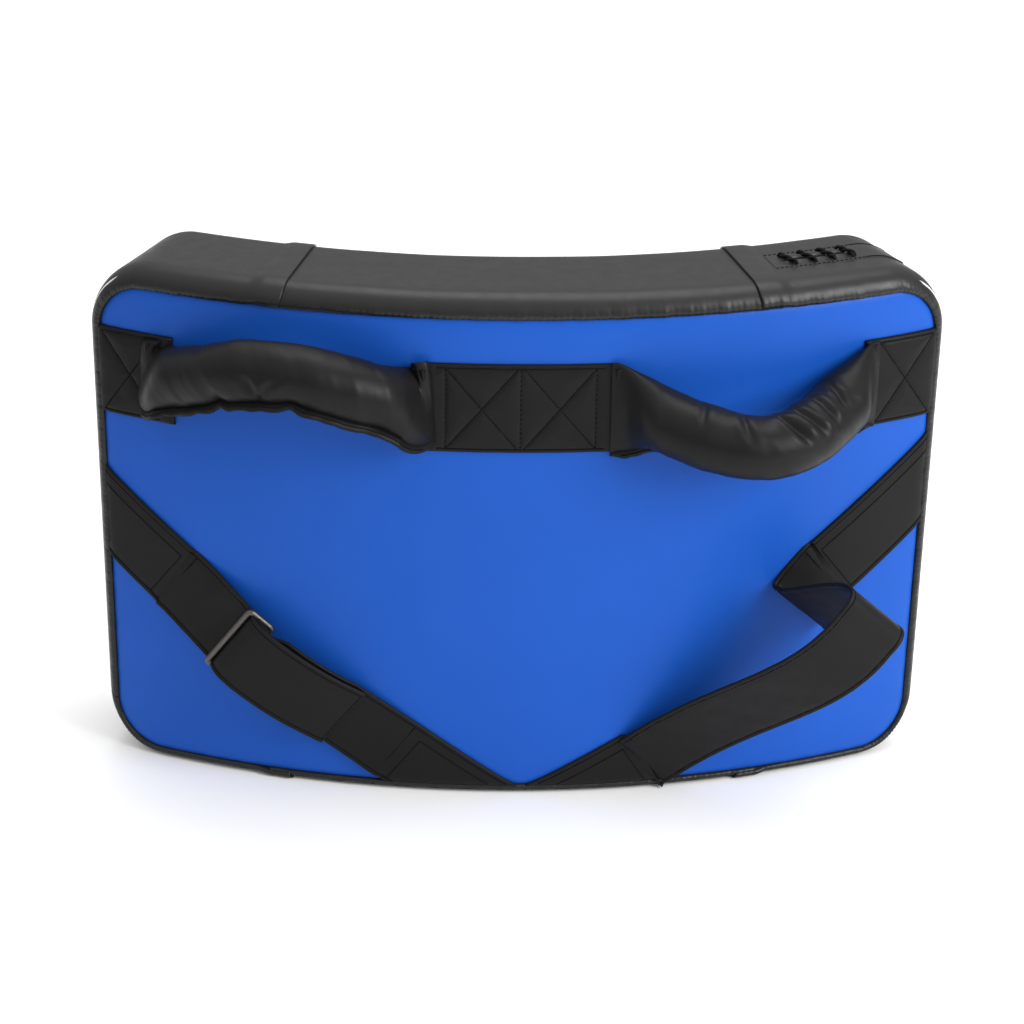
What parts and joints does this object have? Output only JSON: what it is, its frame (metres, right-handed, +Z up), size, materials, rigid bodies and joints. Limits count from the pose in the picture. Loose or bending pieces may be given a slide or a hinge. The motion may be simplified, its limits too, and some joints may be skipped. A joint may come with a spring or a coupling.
{
  "type": "thai pad",
  "caption": "Curved foam-filled thai pad with two padded hand grips, two forearm straps on its convex side, one strap with a ring buckle, and a lace-up opening.",
  "frame": {"origin": "on the flat underside, midway through the pad's thickness at its centre line", "axes": "+X to the right as seen from the holder's convex side, +Y from the holder's side to the strike side, +Z up"},
  "size_m": [0.586, 0.2069, 0.3831],
  "materials": {
    "cover_blue": "satin synthetic leather",
    "cover_black": "satin synthetic leather, lightly grained",
    "welt_black": "turned and sewn leather edge",
    "strap_black": "satin synthetic leather strap",
    "foam_white": "closed-cell foam sheet",
    "foam_cream": "layered closed-cell foam",
    "foam_grey": "soft foam",
    "webbing": "woven webbing",
    "lace_cord": "round cord",
    "hook_tape": "hook tape",
    "loop_tape": "loop tape",
    "ring_metal": "dark satin coated steel wire"
  },
  "bodies": {
    "pad": {"back_panel": "cover_blue", "strike_panel": "cover_blue", "band_top": "cover_black", "band_bottom": "cover_black", "band_left": "cover_black", "band_right": "cover_black", "welt_back": "welt_black", "welt_strike": "welt_black", "foam_strike": "foam_white", "foam_core": "foam_cream", "foam_back": "foam_white", "grip_backing": "webbing", "lace_facing": "cover_black", "lace_tongue": "cover_black", "lace": "lace_cord", "patch_left": "strap_black", "patch_centre": "strap_black", "patch_right": "strap_black", "strap_left_upper": "strap_black", "strap_left_lower": "strap_black", "loop_patch": "loop_tape", "strap_right_upper": "strap_black", "strap_right_foot": "strap_black"},
    "grip_left": {"grip_left_sleeve": "cover_black", "grip_left_core": "foam_grey"},
    "grip_right": {"grip_right_sleeve": "cover_black", "grip_right_core": "foam_grey"},
    "buckle": {"buckle_ring": "ring_metal"},
    "strap_tail": {"strap_left_tail": "strap_black", "hook_patch": "hook_tape"},
    "strap_right": {"strap_right_web": "strap_black"}
  },
  "joints": [
    {"name": "grip_left_swing", "type": "hinge", "parent": "pad", "child": "grip_left", "pos_m": [-0.15382, -0.03192, 0.301], "axis": [-0.9731, 0.2305, 0], "range_deg": [-90, 20]},
    {"name": "grip_right_swing", "type": "hinge", "parent": "pad", "child": "grip_right", "pos_m": [0.15382, -0.03192, 0.301], "axis": [-0.9731, -0.2305, 0], "range_deg": [-45, 65]},
    {"name": "buckle_tilt", "type": "hinge", "parent": "pad", "child": "buckle", "pos_m": [-0.18366, -0.02967, 0.10757], "axis": [0.5797, -0.1452, 0.8018], "range_deg": [0, 60]},
    {"name": "tail_peel", "type": "hinge", "parent": "pad", "child": "strap_tail", "pos_m": [-0.18557, -0.03898, 0.10727], "axis": [-0.5797, 0.1452, -0.8018], "range_deg": [0, 95]},
    {"name": "strap_right_swing", "type": "hinge", "parent": "pad", "child": "strap_right", "pos_m": [0.21406, -0.00682, 0.16], "axis": [-0.6601, -0.1585, -0.7343], "range_deg": [-12, 12]}
  ]
}
